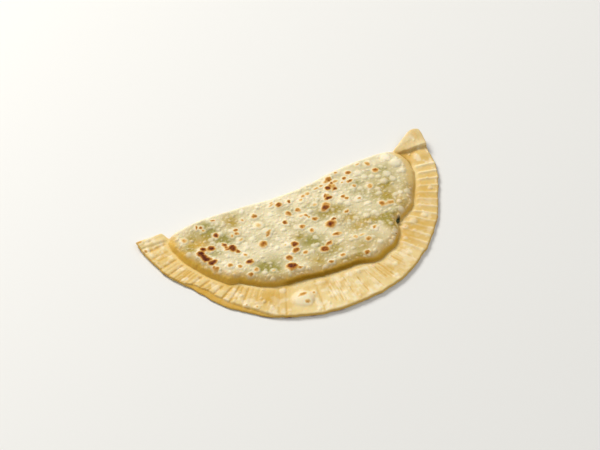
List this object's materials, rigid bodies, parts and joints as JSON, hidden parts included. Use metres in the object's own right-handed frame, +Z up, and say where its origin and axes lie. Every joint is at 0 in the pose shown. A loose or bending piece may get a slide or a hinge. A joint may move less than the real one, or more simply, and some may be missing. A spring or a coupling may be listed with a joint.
{
  "type": "qutab",
  "caption": "Thin dough round folded into a half-moon over a herb filling, baked dry, with a blistered low dome, a fork-ribbed border, a flap at one end and a pinched ear at the other",
  "frame": {"origin": "middle of the footprint on the plane the bread rests on", "axes": "+X along the fold, from the flap end to the ear end; +Y from the crimped border to the fold; +Z up"},
  "size_m": [0.2128, 0.1134, 0.0089],
  "materials": {
    "baked_dough": "baked wheat dough, matt with an oily sheen, brown scorch spots on the blisters",
    "herb_leaf": "wilted cooked herb leaf, damp"
  },
  "bodies": {
    "root": {"dough": "baked_dough", "greens": "herb_leaf"}
  },
  "joints": []
}
